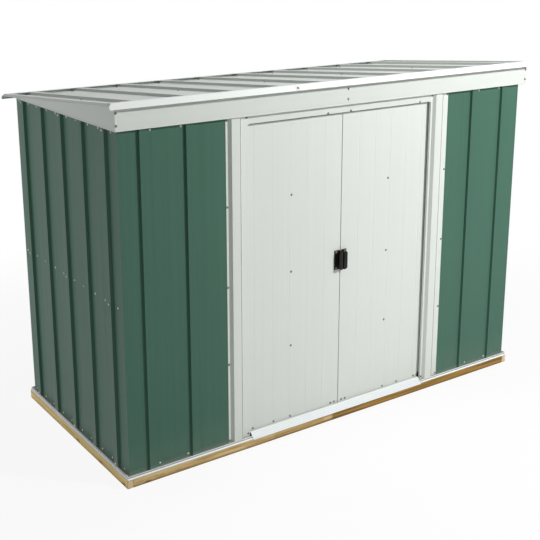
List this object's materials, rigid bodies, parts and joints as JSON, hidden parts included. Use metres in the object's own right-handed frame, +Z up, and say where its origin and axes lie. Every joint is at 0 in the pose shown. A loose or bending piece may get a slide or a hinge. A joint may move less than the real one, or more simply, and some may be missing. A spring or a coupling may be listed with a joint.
{
  "type": "metal tool shed",
  "caption": "Small pent-roof steel tool shed with ribbed green walls, white sliding doors and a white ribbed roof, on a timber base.",
  "frame": {"origin": "on the floor, under the middle of the roof's outline", "axes": "+X along the front to the right as one faces the doors, +Y from the front to the rear wall, +Z up"},
  "size_m": [2.52, 1.218, 1.7471],
  "materials": {
    "green_steel": "satin green paint on ribbed steel sheet",
    "white_steel": "satin off-white paint on steel sheet",
    "zinc_steel": "bare galvanised steel",
    "timber": "sawn treated softwood",
    "floor_board": "plain floor board",
    "black_plastic": "black moulded plastic"
  },
  "bodies": {
    "shed": {"front_wall_left": "green_steel", "front_wall_right": "green_steel", "left_wall": "green_steel", "right_wall": "green_steel", "rear_wall_left": "green_steel", "rear_wall_centre": "green_steel", "rear_wall_right": "green_steel", "threshold_ramp": "white_steel", "door_jamb_left": "white_steel", "door_jamb_right": "white_steel", "door_header": "white_steel", "fascia_left": "white_steel", "fascia_right": "white_steel", "gable_left": "white_steel", "gable_right": "white_steel", "roof_panel_left": "white_steel", "roof_panel_centre": "white_steel", "roof_panel_right": "white_steel", "roof_front_trim_left": "white_steel", "roof_front_trim_right": "white_steel", "roof_rear_trim": "white_steel", "floor_rail_front": "zinc_steel", "floor_rail_rear": "zinc_steel", "floor_rail_left": "zinc_steel", "floor_rail_right": "zinc_steel", "mid_brace_left": "zinc_steel", "mid_brace_right": "zinc_steel", "mid_brace_rear": "zinc_steel", "rear_top_channel": "zinc_steel", "door_track": "zinc_steel", "roof_beam": "zinc_steel", "base_side_timber_left": "timber", "base_side_timber_right": "timber", "base_front_timber": "timber", "base_rear_timber": "timber", "base_joists": "timber", "floor_deck": "floor_board"},
    "left_door": {"left_door_leaf": "white_steel", "left_door_braces": "zinc_steel", "left_door_handle": "black_plastic", "left_door_runners": "black_plastic"},
    "right_door": {"right_door_leaf": "white_steel", "right_door_braces": "zinc_steel", "right_door_handle": "black_plastic", "right_door_runners": "black_plastic"}
  },
  "joints": [
    {"name": "left_door_slide", "type": "slide", "parent": "shed", "child": "left_door", "axis": [-1, 0, 0], "range_m": [0, 0.505]},
    {"name": "right_door_slide", "type": "slide", "parent": "shed", "child": "right_door", "axis": [1, 0, 0], "range_m": [0, 0.505]}
  ]
}
